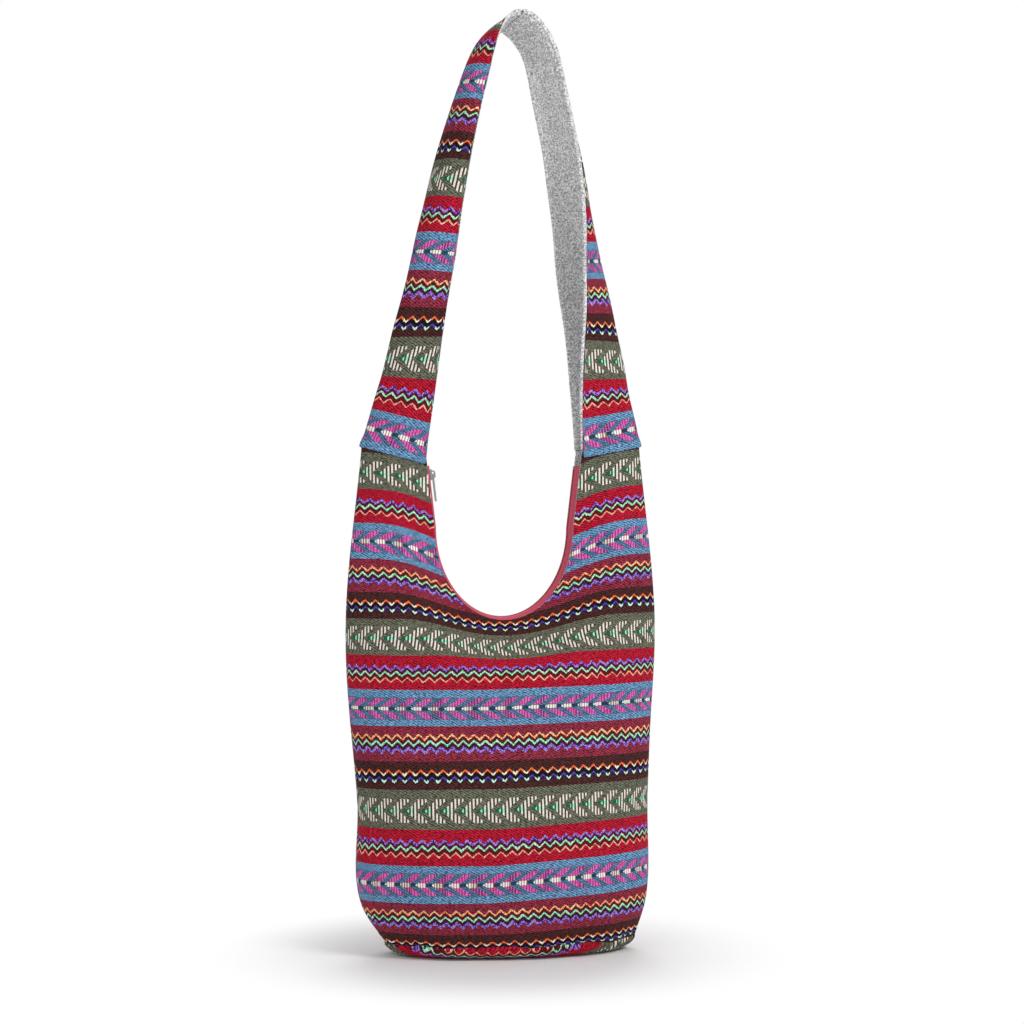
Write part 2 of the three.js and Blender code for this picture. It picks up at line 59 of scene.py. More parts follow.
def shade(red, green, blue, alpha=1.0):
    """A colour given as a screen shows it, 0 to 255, as the linear one that a socket takes."""
    linear = [c / 3294.6 if c <= 10 else ((c / 255 + 0.055) / 1.055) ** 2.4 for c in (red, green, blue)]
    return (*linear, alpha)


def add_node(tree, kind, inputs=None, **settings):
    node = tree.nodes.new(kind)
    for name, value in settings.items():
        setattr(node, name, value)
    for name, value in (inputs or {}).items():
        if isinstance(value, bpy.types.NodeSocket):
            tree.links.new(value, node.inputs[name])
        else:
            node.inputs[name].default_value = value
    return node


def calc(tree, operation, *values):
    return add_node(tree, "ShaderNodeMath", dict(enumerate(values)), operation=operation).outputs[0]


def mix(tree, amount, first, second, blend="MIX"):
    inputs = {0: amount, 6: first, 7: second}
    return add_node(tree, "ShaderNodeMix", inputs, data_type="RGBA", blend_type=blend).outputs[2]


def bands(tree, place, stops):
    """A ramp of plain bands, each from its stop up to the next. Its alpha says where a band is woven."""
    node = add_node(tree, "ShaderNodeValToRGB", {0: place})
    ramp = node.color_ramp
    ramp.interpolation = "CONSTANT"
    ramp.elements.remove(ramp.elements[1])
    for number, (position, colour) in enumerate(stops):
        element = ramp.elements[0] if number == 0 else ramp.elements.new(position)
        element.position = position
        element.color = colour
    return node.outputs


def new_material(name):
    material = bpy.data.materials.new(name)
    material.use_nodes = True
    tree = material.node_tree
    tree.nodes.clear()
    shader = tree.nodes.new("ShaderNodeBsdfPrincipled")
    output = tree.nodes.new("ShaderNodeOutputMaterial")
    tree.links.new(shader.outputs[0], output.inputs[0])
    return material, tree, shader


striped_cloth, tree, shader = new_material("striped jacquard")
lengths = add_node(tree, "ShaderNodeAttribute", attribute_name="cloth").outputs["Vector"]
thread = add_node(
    tree, "ShaderNodeVectorMath", {0: lengths, 1: (1 / THREAD, 1 / THREAD, 0)}, operation="MULTIPLY"
).outputs[0]
thread = add_node(tree, "ShaderNodeVectorMath", {0: thread}, operation="FLOOR").outputs[0]
split = add_node(tree, "ShaderNodeSeparateXYZ", {0: thread}).outputs
across = calc(tree, "MULTIPLY", split[0], THREAD)
up = calc(tree, "FLOORED_MODULO", calc(tree, "MULTIPLY", split[1], THREAD), REPEAT)

ground = bands(
    tree,
    calc(tree, "DIVIDE", up, REPEAT),
    [
        (0, shade(100, 142, 178)),
        (BLUE_TOP / REPEAT, shade(172, 22, 46)),
        (RED_TOP / REPEAT, shade(99, 101, 85)),
        (OLIVE_TOP / REPEAT, shade(70, 36, 36)),
        (BROWN_TOP / REPEAT, shade(134, 44, 62)),
    ],
)[0]
fine = add_node(tree, "ShaderNodeSeparateXYZ", {0: lengths}).outputs
streaks = add_node(
    tree, "ShaderNodeVectorMath", {0: lengths, 1: (0.3, 0.85, 0)}, operation="MULTIPLY"
).outputs[0]
streaks = add_node(tree, "ShaderNodeTexNoise", {"Vector": streaks, "Scale": 1.0, "Detail": 3.0}).outputs[0]
grain = add_node(tree, "ShaderNodeTexWhiteNoise", {"Vector": thread}, noise_dimensions="2D").outputs["Value"]
twill = calc(tree, "ADD", calc(tree, "MULTIPLY", fine[0], TWILL_SLOPE), fine[1])
twill = calc(tree, "DIVIDE", calc(tree, "PINGPONG", twill, TWILL_HALF), TWILL_HALF)
tone = 0.0
for pattern, weight in ((streaks, STREAK_TONE), (grain, GRAIN_TONE), (twill, TWILL_TONE)):
    tone = calc(tree, "ADD", calc(tree, "MULTIPLY", calc(tree, "SUBTRACT", pattern, 0.5), weight), tone)
tone = calc(tree, "MAXIMUM", calc(tree, "ADD", tone, 1.0), DARKEST_TONE)
heather = add_node(tree, "ShaderNodeVectorMath", {0: ground, "Scale": tone}, operation="SCALE").outputs[0]

wave = calc(tree, "PINGPONG", across, ZIGZAG_HALF)
zigzag = calc(tree, "MULTIPLY", wave, ZIGZAG_RISE / ZIGZAG_HALF)
level = calc(tree, "DIVIDE", calc(tree, "SUBTRACT", up, zigzag), REPEAT)
salmon, pale_salmon = shade(255, 150, 118), shade(255, 206, 180)
orange, pale_orange = shade(255, 118, 62), shade(255, 230, 170)
mint, green = shade(214, 255, 230), shade(110, 222, 164)
purple, lavender = shade(84, 44, 160), shade(172, 150, 236)
navy, cream = shade(84, 72, 176), shade(255, 248, 222)
under_mint = shade(16, 26, 22, 0.85)
under_orange = shade(88, 4, 16, 0.75)
under_purple = shade(40, 8, 40, 0.8)
black = shade(14, 12, 18, 0.88)
bare = (0, 0, 0, 0)
lines = [
    (RED_TOP - 28.6, salmon, salmon, pale_salmon),
    (RED_TOP - 26.9, under_orange, under_orange, bare),
    (RED_TOP - 24.2, under_mint, under_mint, bare),
    (RED_TOP - 22.2, mint, mint, green),
    (RED_TOP - 20.5, under_purple, under_purple, bare),
    (RED_TOP - 17.4, purple, purple, lavender),
    (RED_TOP - 14.4, bare, bare, bare),
    (OLIVE_TOP + 4.6, black, black, bare),
    (OLIVE_TOP + 5.7, navy, mint, bare),
    (OLIVE_TOP + 7.6, black, black, bare),
    (OLIVE_TOP + 12.4, orange, cream, bare),
    (OLIVE_TOP + 14.3, bare, bare, bare),
    (BROWN_TOP + 6.7, purple, purple, lavender),
    (BROWN_TOP + 9.8, under_purple, under_purple, bare),
    (BROWN_TOP + 12.4, under_mint, under_mint, bare),
    (BROWN_TOP + 14.0, mint, mint, green),
    (BROWN_TOP + 15.8, under_mint, under_mint, bare),
    (BROWN_TOP + 17.4, under_orange, under_orange, bare),
    (BROWN_TOP + 20.3, orange, orange, pale_orange),
    (BROWN_TOP + 22.2, bare, bare, bare),
]
peak_line, trough_line, fleck_line = (
    bands(tree, level, [(0, bare)] + [(line[0] / REPEAT, line[kind]) for line in lines]) for kind in (1, 2, 3)
)
in_trough = calc(tree, "LESS_THAN", wave, 0.42 * ZIGZAG_HALF)
zigzag_colour = mix(tree, in_trough, peak_line[0], trough_line[0])
flecks = calc(tree, "MULTIPLY", fleck_line[1], calc(tree, "GREATER_THAN", grain, 0.5))
zigzag_colour = mix(tree, flecks, zigzag_colour, fleck_line[0])
zigzag_mask = peak_line[1]


def all_of(*masks):
    mask = masks[0]
    for other in masks[1:]:
        mask = calc(tree, "MULTIPLY", mask, other)
    return mask


def arrowheads(pitch, middle, half_height, slope, inner, outer):
    """A row of arrowheads that point left: places along and off its middle, and where the slanting arms lie."""
    along = calc(tree, "FLOORED_MODULO", across, pitch)
    off = calc(tree, "ABSOLUTE", calc(tree, "SUBTRACT", up, middle))
    slant = calc(tree, "SUBTRACT", off, calc(tree, "MULTIPLY", along, slope))
    arms = 0.0
    for start in (0.0, pitch * slope):
        above = calc(tree, "GREATER_THAN", slant, start + inner)
        below = calc(tree, "LESS_THAN", slant, start + outer)
        arms = calc(tree, "MAXIMUM", calc(tree, "MULTIPLY", above, below), arms)
    return along, off, calc(tree, "MULTIPLY", arms, calc(tree, "LESS_THAN", off, half_height))


along, off, olive_arms = arrowheads(OLIVE_PITCH, OLIVE_MIDDLE, OLIVE_HALF_HEIGHT, 0.95, -8.6, 1.0)
dash = calc(tree, "FLOORED_MODULO", calc(tree, "ADD", along, THREAD / 2), 4 * THREAD)
dash = calc(tree, "LESS_THAN", dash, 2 * THREAD)
white_floats = all_of(olive_arms, dash)
near_tip = calc(tree, "GREATER_THAN", calc(tree, "ABSOLUTE", calc(tree, "SUBTRACT", along, 11.2)), 2.3)
olive_heart = all_of(calc(tree, "LESS_THAN", off, 2.1), near_tip)
mint_tip = all_of(calc(tree, "LESS_THAN", off, 1.5), calc(tree, "LESS_THAN", along, 5.0))
white = mix(tree, grain, shade(226, 206, 190), shade(255, 253, 246))
colour = mix(tree, calc(tree, "MULTIPLY", olive_arms, 0.7), heather, shade(56, 42, 38))
colour = mix(tree, calc(tree, "MULTIPLY", olive_heart, 0.85), colour, shade(20, 92, 64))
colour = mix(tree, white_floats, colour, mix(tree, mint_tip, white, shade(150, 250, 206)))

along, off, blue_arms = arrowheads(BLUE_PITCH, BLUE_MIDDLE, BLUE_HALF_HEIGHT, 0.75, -6.5, 0.5)
columns = calc(tree, "LESS_THAN", calc(tree, "FLOORED_MODULO", along, BLUE_COLUMN), BLUE_FLOAT)
blue_arms = all_of(blue_arms, calc(tree, "GREATER_THAN", off, 2.3))
pink_floats = all_of(blue_arms, columns)
taper = calc(tree, "MINIMUM", calc(tree, "ADD", calc(tree, "MULTIPLY", along, 0.55), 0.4), 2.1)
on_line = calc(tree, "LESS_THAN", off, taper)
blue_heart = all_of(on_line, calc(tree, "LESS_THAN", along, BLUE_HEART_END))
heart_gap = all_of(calc(tree, "LESS_THAN", off, 1.7), calc(tree, "GREATER_THAN", along, BLUE_HEART_END))
blue_motif = all_of(calc(tree, "LESS_THAN", off, 11.5), calc(tree, "GREATER_THAN", streaks, 0.47))
colour = mix(tree, calc(tree, "MULTIPLY", blue_motif, 0.6), colour, shade(30, 60, 86))
colour = mix(tree, calc(tree, "MULTIPLY", heart_gap, 0.75), colour, shade(14, 30, 48))
colour = mix(tree, calc(tree, "MULTIPLY", blue_arms, 0.75), colour, shade(120, 30, 96))
colour = mix(tree, pink_floats, colour, mix(tree, grain, shade(222, 44, 140), shade(244, 132, 212)))
colour = mix(tree, blue_heart, colour, mix(tree, columns, shade(150, 138, 110), shade(255, 253, 242)))
colour = mix(tree, zigzag_mask, colour, zigzag_colour)
tree.links.new(colour, shader.inputs["Base Color"])

raised = calc(tree, "MAXIMUM", calc(tree, "MAXIMUM", white_floats, pink_floats), zigzag_mask)
height = calc(tree, "ADD", calc(tree, "MULTIPLY", twill, 0.6), raised)
bump = add_node(tree, "ShaderNodeBump", {"Strength": 0.6, "Distance": 0.0004, "Height": height})
tree.links.new(bump.outputs[0], shader.inputs["Normal"])
shader.inputs["Roughness"].default_value = 0.9
shader.inputs["Specular IOR Level"].default_value = 0.15


# Lining: a grey marled cotton that shows inside the strap loop and along every turned edge.
# It is one thin sheet behind each piece of striped cloth.

LINING_THREADS = 0.95

lining_cloth, tree, shader = new_material("grey marl lining")
lengths = add_node(tree, "ShaderNodeAttribute", attribute_name="cloth").outputs["Vector"]
thread = add_node(
    tree, "ShaderNodeVectorMath", {0: lengths, 1: (LINING_THREADS, LINING_THREADS, 0)}, operation="MULTIPLY"
).outputs[0]
thread = add_node(tree, "ShaderNodeVectorMath", {0: thread}, operation="FLOOR").outputs[0]
grain = add_node(tree, "ShaderNodeTexWhiteNoise", {"Vector": thread}, noise_dimensions="2D").outputs["Value"]
colour = mix(tree, grain, shade(146, 146, 150), shade(255, 255, 255))
tree.links.new(colour, shader.inputs["Base Color"])
bump = add_node(tree, "ShaderNodeBump", {"Strength": 0.4, "Distance": 0.0002, "Height": grain})
tree.links.new(bump.outputs[0], shader.inputs["Normal"])
shader.inputs["Roughness"].default_value = 0.95
shader.inputs["Specular IOR Level"].default_value = 0.1


# Body: a front and a back panel of the striped cloth, sewn down both sides, each with its lining.
# A panel runs from the base seam up to the mouth's scoop and, beside it, up two arms to the shoulder seams.
# The bag is full, so the panels belly out, sag below the mouth and crease where the arms pull on them.

MM = 0.001
CLOTH = 1.6
LINING = 0.8
SEAM_GAP = 0.3
BASE_SEAM = 14.0
MOUTH_HEIGHT, MOUTH_HALF_WIDTH, MOUTH_ROUND = 331.5, 70.0, 92.0
SHOULDER_HEIGHT, SHOULDER_HALF_WIDTH, SHOULDER_HALF_GAP = 501.0, 140.0, 79.0
SHOULDER_CLIMB = 4.8
ZIP_HALF_GAP = 15.0
PINCH_REACH = 60.0
ARM_COLUMNS, MOUTH_COLUMNS, PANEL_ROWS = 26, 48, 104
ROUND_TOP = MOUTH_HEIGHT + MOUTH_ROUND
CUT_START, MOUTH_PULL, MOUTH_PULL_REACH = 47.2, 9.0, 60.0
RIGHT_RISE, GATHER, GATHER_REACH = 4.5, 3.0, 12.0
RELIEF, PUCKER_DEPTH, PUCKER_REACH = 1.5, 1.3, 14.0
SIDE_SEAM_DEPTH, SIDE_SEAM_WIDTH = 1.3, 2.6


def through(points):
    """A smooth line through (place, value) points, with the mean slope of both chords at each."""
    place, value = np.array(points, float).T
    chord = np.diff(value) / np.diff(place)
    slope = np.concatenate([chord[:1], (chord[1:] + chord[:-1]) / 2, chord[-1:]])

    def at(where):
        k = np.clip(np.searchsorted(place, where, side="right") - 1, 0, len(chord) - 1)
        step = place[k + 1] - place[k]
        p = np.clip((where - place[k]) / step, 0, 1)
        rise = value[k] * (1 + 2 * p) * (1 - p) ** 2 + value[k + 1] * p**2 * (3 - 2 * p)
        return rise + step * p * (1 - p) * (slope[k] * (1 - p) - slope[k + 1] * p)

    return at


def smooth(value, low, high):
    p = np.clip((value - low) / (high - low), 0, 1)
    return p * p * (3 - 2 * p)


half_width = through([(14, 125), (50, 142), (150, 145), (331.5, 155), (501, 140)])
half_depth = through([(14, 60), (50, 71), (150, 75), (238, 57), (288, 59), (399.3, 38), (501, 27)])
base_shift = through([(14, 8), (50, 2.8), (150, 2), (238, 0), (331.5, 0)])


def mouth_half_width(z):
    drop = np.clip((ROUND_TOP - z) / MOUTH_ROUND, 0, 1)
    climb = np.clip((z - ROUND_TOP) / (SHOULDER_HEIGHT - ROUND_TOP), 0, None)
    return MOUTH_HALF_WIDTH * np.sqrt(1 - drop**2) + (SHOULDER_HALF_GAP - MOUTH_HALF_WIDTH) * climb


def mouth_distance(x, z):
    p = x / MOUTH_HALF_WIDTH
    q = (z - ROUND_TOP) / MOUTH_ROUND
    ratio = np.maximum(np.hypot(p, q), 1e-6)
    slope = np.maximum(np.hypot(p / MOUTH_HALF_WIDTH, q / MOUTH_ROUND) / ratio, 1e-6)
    return np.where(z >= ROUND_TOP, np.abs(x) - mouth_half_width(z), (ratio - 1) / slope)


def body_depth(x, z):
    """Half the depth of the body: an oval section that the zip pinches together at the mouth."""
    width = half_width(z)
    oval = half_depth(z) * np.sqrt(np.clip(1 - (x / width) ** 2, 0, 1))
    reach = np.minimum(PINCH_REACH, width - mouth_half_width(z))
    pinch = smooth(mouth_distance(x, z) / reach, 0, 1)
    return ZIP_HALF_GAP + (oval - ZIP_HALF_GAP) * pinch


def lumps(x, z, size, seed):
    return np.array([noise.noise(Vector((a / size, b / size, seed))) for a, b in zip(x, z)])


def crease(x, z, route, width):
    """How strongly a crease along a bent route is felt at each place, fading to its sides and ends."""
    t = np.linspace(0, 1, 40)[:, None]
    (x0, z0), (x1, z1), (x2, z2) = route
    line_x = (1 - t) ** 2 * x0 + 2 * t * (1 - t) * x1 + t**2 * x2
    line_z = (1 - t) ** 2 * z0 + 2 * t * (1 - t) * z1 + t**2 * z2
    strength = np.sin(np.pi * np.clip(0.06 + 0.88 * t, 0, 1)) ** 0.7
    away = np.hypot(x[None, :] - line_x, z[None, :] - line_z)
    return np.max(strength * np.exp(-((away / width) ** 2)), axis=0)


def pucker(angle):
    """The small gathers along the base seam, by the angle round the oval."""
    return 0.8 * np.sin(9 * angle + 1) + 0.8 * np.sin(17 * angle + 4) + 0.6 * np.sin(31 * angle + 2)


front_creases = [
    (((-80, 396), (-64, 320), (26, 315)), 7, -3.2),
    (((-112, 302), (10, 288), (78, 302)), 10, 2.0),
    (((54, 350), (100, 359), (152, 362)), 8, -3.0),
    (((58, 332), (100, 338), (150, 340)), 9, 1.8),
    (((80, 380), (110, 388), (140, 384)), 8, -1.6),
    (((-78, 352), (-110, 352), (-152, 366)), 9, -1.6),
    (((97, 312), (86, 270), (90, 222)), 6, -2.6),
    (((106, 316), (97, 270), (101, 220)), 8, 2.0),
    (((-120, 276), (-60, 280), (-34, 292)), 7, -1.8),
    (((-110, 262), (0, 236), (100, 262)), 14, 1.2),
    (((-140, 62), (-80, 44), (-30, 30)), 9, -1.8),
    (((30, 26), (80, 46), (138, 70)), 9, -1.6),
]
back_creases = [
    (((-58, 336), (-96, 350), (-150, 352)), 9, -2.8),
    (((64, 336), (100, 346), (150, 360)), 9, -2.2),
    (((-100, 300), (10, 258), (110, 298)), 13, -2.6),
    (((-90, 276), (10, 236), (110, 274)), 14, 1.8),
    (((-40, 150), (-10, 120), (40, 112)), 14, -1.6),
    (((-138, 70), (-70, 46), (-20, 32)), 9, -1.8),
]


def panel_form(face, creases):
    """Where the points of a flat panel lie on the bag, and their lengths on the cloth."""

    def form(a, b):
        sign = np.where(a < 0.5, -1.0, 1.0)
        inward = np.minimum(a, 1 - a) * (2 * ARM_COLUMNS + MOUTH_COLUMNS)
        turn = np.clip(inward / ARM_COLUMNS, 0, 1) * np.pi / 2
        arm_top = SHOULDER_HEIGHT + SHOULDER_CLIMB * np.cos(turn) - SEAM_GAP / 2
        arm_x = SHOULDER_HALF_GAP + (SHOULDER_HALF_WIDTH - SHOULDER_HALF_GAP) * np.cos(turn)
        bend = np.linspace(0, np.pi / 2, 60)
        edge_x = np.concatenate([[SHOULDER_HALF_GAP], MOUTH_HALF_WIDTH * np.cos(bend)])
        edge_top = SHOULDER_HEIGHT - SEAM_GAP / 2
        edge_z = np.concatenate([[edge_top], ROUND_TOP - MOUTH_ROUND * np.sin(bend)])
        run = np.concatenate([[0], np.cumsum(np.hypot(np.diff(edge_x), np.diff(edge_z)))])
        along = np.clip((inward - ARM_COLUMNS) / (MOUTH_COLUMNS / 2), 0, 1)
        on_arm = inward < ARM_COLUMNS
        top_z = np.where(on_arm, arm_top, np.interp(along * run[-1], run, edge_z))
        top_x = np.where(on_arm, arm_x, np.interp(along * run[-1], run, edge_x))
        top_share = top_x / half_width(top_z)
        foot_share = np.where(on_arm, top_share, (1 - along) * SHOULDER_HALF_GAP / SHOULDER_HALF_WIDTH)
        foot = BASE_SEAM + SEAM_GAP / 2
        z = foot + (top_z - foot) * b
        share = np.clip(sign * (foot_share + (top_share - foot_share) * b), -1, 1)
        width = half_width(z)
        x = share * width
        y = body_depth(x, z)

        steps = np.linspace(0, 1, 60)[:, None]
        rise = foot + (z - foot) * steps
        run_x = share * half_width(rise)
        run = np.stack([run_x, body_depth(run_x, rise), rise])
        up = np.linalg.norm(np.diff(run, axis=1), axis=0).sum(0)
        run_x = width * np.sin(np.arcsin(share) * steps)
        run_y = body_depth(run_x, z)
        across = np.hypot(np.diff(run_x, axis=0), np.diff(run_y, axis=0)).sum(0) * sign
        near_mouth = np.clip(1 - mouth_distance(x, z) / MOUTH_PULL_REACH, 0, 1) ** 1.5
        tilt = RIGHT_RISE * (2 - smooth(z, 70, 220)) * np.clip((x + 20) / 160, 0, 1)
        up = up + 0.05 * np.clip(up - 230, 0, None) - CUT_START
        up = up + MOUTH_PULL * near_mouth - tilt - GATHER * np.exp(-(z - foot) / GATHER_REACH)

        out_x, out_y = share / width, np.sqrt(1 - share**2) / half_depth(z)
        length = np.hypot(out_x, out_y)
        angle = np.arctan2(np.sqrt(1 - share**2), share) + (0 if face < 0 else np.pi)
        held = (1 - share**8) * smooth(mouth_distance(x, z), 2, 40)
        held = held * smooth(z, BASE_SEAM, 60) * (1 - smooth(z, 430, 485))
        relief = 3.0 * lumps(x, z, 95, 3 + face) + 1.0 * lumps(x, z, 34, 7 + face)
        for route, spread, depth in creases:
            relief = relief + depth * crease(x, z, route, spread)
        relief = relief * held
        relief = RELIEF * relief + PUCKER_DEPTH * pucker(angle) * np.exp(-(z - foot) / PUCKER_REACH)
        relief = relief - SIDE_SEAM_DEPTH * np.exp(-((y / SIDE_SEAM_WIDTH) ** 2)) * smooth(z, BASE_SEAM, 30)
        z = z + 0.9 * pucker(angle + 0.4) * np.exp(-(z - foot) / 9)
        x = x + relief * out_x / length
        y = y + relief * out_y / length
        return np.stack([-face * x + base_shift(z), face * y, z], axis=1), np.stack([across, up], axis=1)

    return form


def bend_sheet(name, columns, rows, form):
    """A cloth sheet: a flat grid bent to its form, which keeps each point's lengths on the cloth."""
    bm = bmesh.new()
    bmesh.ops.create_grid(bm, x_segments=columns, y_segments=rows, size=0.5)
    flat = np.array([vert.co[:2] for vert in bm.verts]) + 0.5
    places, lengths = form(flat[:, 0], flat[:, 1])
    layer = bm.verts.layers.float_vector.new("cloth")
    for vert, place, (across, up) in zip(bm.verts, places, lengths):
        vert.co = Vector(place) * MM
        vert[layer] = (across, up, 0)
    mesh = bpy.data.meshes.new(name)
    bmesh.ops.remove_doubles(bm, verts=bm.verts, dist=0.00002)
    bm.to_mesh(mesh)
    bm.free()
    mesh.shade_smooth()
    piece = bpy.data.objects.new(name, mesh)
    bpy.context.scene.collection.objects.link(piece)
    return piece


def thicken(piece, thickness, low, smoothing):
    """Gives a sheet its thickness, from a distance in front of its grid, and rounds it."""
    solid = piece.modifiers.new("thickness", "SOLIDIFY")
    solid.thickness = thickness * MM
    solid.offset = 2 * low / thickness + 1
    if smoothing:
        rounding = piece.modifiers.new("rounding", "SUBSURF")
        rounding.levels = rounding.render_levels = smoothing


panel_columns = 2 * ARM_COLUMNS + MOUTH_COLUMNS
for side, face, creases in (("front", -1, front_creases), ("back", 1, back_creases)):
    panel = bend_sheet(f"{side}_cloth", panel_columns, PANEL_ROWS, panel_form(face, creases))
    thicken(panel, CLOTH, SEAM_GAP / 2, 1)
    panel.data.materials.append(striped_cloth)
    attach(panel, "bag")
    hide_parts(f"{side}_panel")
    lining = bend_sheet(f"{side}_liner", panel_columns, PANEL_ROWS, panel_form(face, creases))
    thicken(lining, LINING, -SEAM_GAP / 2 - LINING, 0)
    lining.data.materials.append(lining_cloth)
    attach(lining, "bag")
    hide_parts(f"{side}_lining")


# Base: an oval of the striped cloth with its lining, whose rounded edge turns up to the base seam.
# The panels are gathered a little into that seam, so the edge puckers.

BASE_HALF_WIDTH, BASE_HALF_DEPTH, BASE_EDGE_REACH, BASE_SHIFT = 126.75, 61.9, 26.0, 8.0
BASE_PHASE = 112.0


def base_form(inset):
    """Where the points of the oval lie, an inset above the floor: flat to half way out, then a rounded edge."""

    def form(a, b):
        angle = 2 * np.pi * a
        bend = np.clip(2 * b - 1, 0, 1) * np.pi / 2
        flat = np.clip(2 * b, 0, 1)
        edge = (BASE_EDGE_REACH - inset) * np.sin(bend)
        wave = PUCKER_DEPTH * pucker(-angle) * smooth(b, 0.6, 1)
        reach_x = flat * (BASE_HALF_WIDTH - BASE_EDGE_REACH) + edge + wave
        reach_y = flat * (BASE_HALF_DEPTH - BASE_EDGE_REACH) + edge + wave
        z = np.minimum(BASE_SEAM - (BASE_SEAM - inset) * np.cos(bend), BASE_SEAM - SEAM_GAP / 2)
        z = np.maximum(z + 0.9 * pucker(-angle + 0.4) * smooth(b, 0.8, 1), inset)
        place = [reach_x * np.cos(angle) + BASE_SHIFT, reach_y * np.sin(angle), z]
        across = (reach_x - wave) * np.cos(angle)
        up = (reach_y - wave + 0.2 * edge) * np.sin(angle) + 0.12 * across + BASE_PHASE
        return np.stack(place, axis=1), np.stack([across, up], axis=1)

    return form


base = bend_sheet("base_cloth", 180, 24, base_form(0))
thicken(base, CLOTH, -CLOTH, 1)
base.data.materials.append(striped_cloth)
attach(base, "bag")
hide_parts("base_panel")
base_lining = bend_sheet("base_liner", 90, 16, base_form(CLOTH + SEAM_GAP))
thicken(base_lining, LINING, -LINING, 0)
base_lining.data.materials.append(lining_cloth)
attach(base_lining, "bag")
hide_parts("base_lining")


# Strap: two lengths of the striped cloth, left and right, each sewn to both panels at its shoulder seam.
# Each is folded deep at the shoulder, opens into a band on the way up and is sewn to the other at the top.

STRAP_RISE, STRAP_BOW, STRAP_LEAN = 434.0, 6.0, 13.0
STRAP_TWIST, STRAP_TWIST_RISE, STRAP_ROLL = math.radians(20), 200.0, math.radians(22)
LIP_TURN, LIP_BEND, LIP_GROOVE, LIP_SINK = math.radians(65), 1.5, 0.4, 0.3
LEFT_LAP, RIGHT_LAP, LAP_HEIGHT = 13.0, 7.0, 1.9
STRAP_COLUMNS, STRAP_ROWS = 34, 132
HEM_SHARE, HEM_COLUMNS, HEM_CLOTH = 0.13, 14, 5.0

loop_shape = [(0, 1), (0.14, 0.94), (0.35, 0.94), (0.62, 0.8), (0.83, 0.55), (0.95, 0.34), (1, 0)]
loop_x = [-spread * SHOULDER_HALF_GAP for rise, spread in loop_shape]
loop_z = [SHOULDER_HEIGHT + rise * (STRAP_RISE - STRAP_BOW) for rise, spread in loop_shape]
loop_x += [-x for x in loop_x[-2::-1]]
loop_z += loop_z[-2::-1]
chords = np.concatenate([[0], np.cumsum(np.hypot(np.diff(loop_x), np.diff(loop_z)) ** 0.5)])
knots = np.linspace(0, chords[-1], 1201)
fine_x, fine_z = through(list(zip(chords, loop_x)))(knots), through(list(zip(chords, loop_z)))(knots)
fine_run = np.concatenate([[0], np.cumsum(np.hypot(np.diff(fine_x), np.diff(fine_z)))])
half_loop = fine_run[-1] / 2
left_fold = [(0, 61), (0.07, 52.5), (0.17, 36.6), (0.31, 18.3), (0.41, 12.15), (0.5, 6)]
right_fold = [(0.585, 7.2), (0.67, 13.4), (0.78, 32.9), (0.85, 42.7), (0.93, 52.5), (1, 61)]
fold_depth = through(left_fold + right_fold)
left_opening = [(0, 30), (0.07, 34.8), (0.17, 44.4), (0.3, 54), (0.41, 45.2), (0.5, 43)]
right_opening = [(0.585, 40), (0.67, 42.1), (0.78, 45.8), (0.85, 43.2), (0.93, 34.8), (1, 30)]
opening = through(left_opening + right_opening)
roll = through([(0, 0), (0.4, 0), (0.5, 0.5), (0.58, 0.8), (0.68, 0.7), (0.8, 0.15), (0.88, 0), (1, 0)])
lean = through([(0, 0), (0.14, 0.25), (0.3, 0.4), (0.62, 0.7), (0.83, 0.9), (1, 1)])
lip_width = through([(0, 0), (0.45, 0), (0.5, 10), (0.56, 10), (0.62, 7), (0.7, 4), (0.78, 0), (1, 0)])


def strap_section(side, length, turn, beyond=0.0, lift=0.0):
    """Points of the folded band, at a share of the half loop and a turn round the fold, or past its edges."""
    reach = length * half_loop
    centre_x, centre_z = np.interp(reach, fine_run, fine_x), np.interp(reach, fine_run, fine_z)
    step_x = np.interp(reach + 1, fine_run, fine_x) - np.interp(reach - 1, fine_run, fine_x)
    step_z = np.interp(reach + 1, fine_run, fine_z) - np.interp(reach - 1, fine_run, fine_z)
    step = np.hypot(step_x, step_z)
    round_loop = length / 2 if side < 0 else 1 - length / 2
    middle = fold_depth(round_loop) / 2
    half_open = 0.5 * opening(round_loop)
    out = 2 * middle * np.cos(turn) - beyond
    aside = half_open * np.sin(turn) + lift * np.sign(turn)
    lip = lip_width(round_loop)
    front = lip - half_open - aside
    groove = LIP_GROOVE * lip * np.exp(-((front / LIP_BEND) ** 2))
    front = np.clip(front, 0, None) * (lip > 0.5)
    front = front - LIP_BEND * (1 - np.exp(-front / LIP_BEND))
    out = out + front * math.sin(LIP_TURN) + groove - LIP_SINK * lip - middle
    aside = aside + front * (1 - math.cos(LIP_TURN))
    rolled = STRAP_ROLL * roll(round_loop)
    rolled_out = middle + out * np.cos(rolled) - aside * np.sin(rolled)
    y = out * np.sin(rolled) + aside * np.cos(rolled)
    x = centre_x - rolled_out * step_z / step
    z = centre_z + rolled_out * step_x / step
    return np.stack([-side * x, y, z], axis=1)


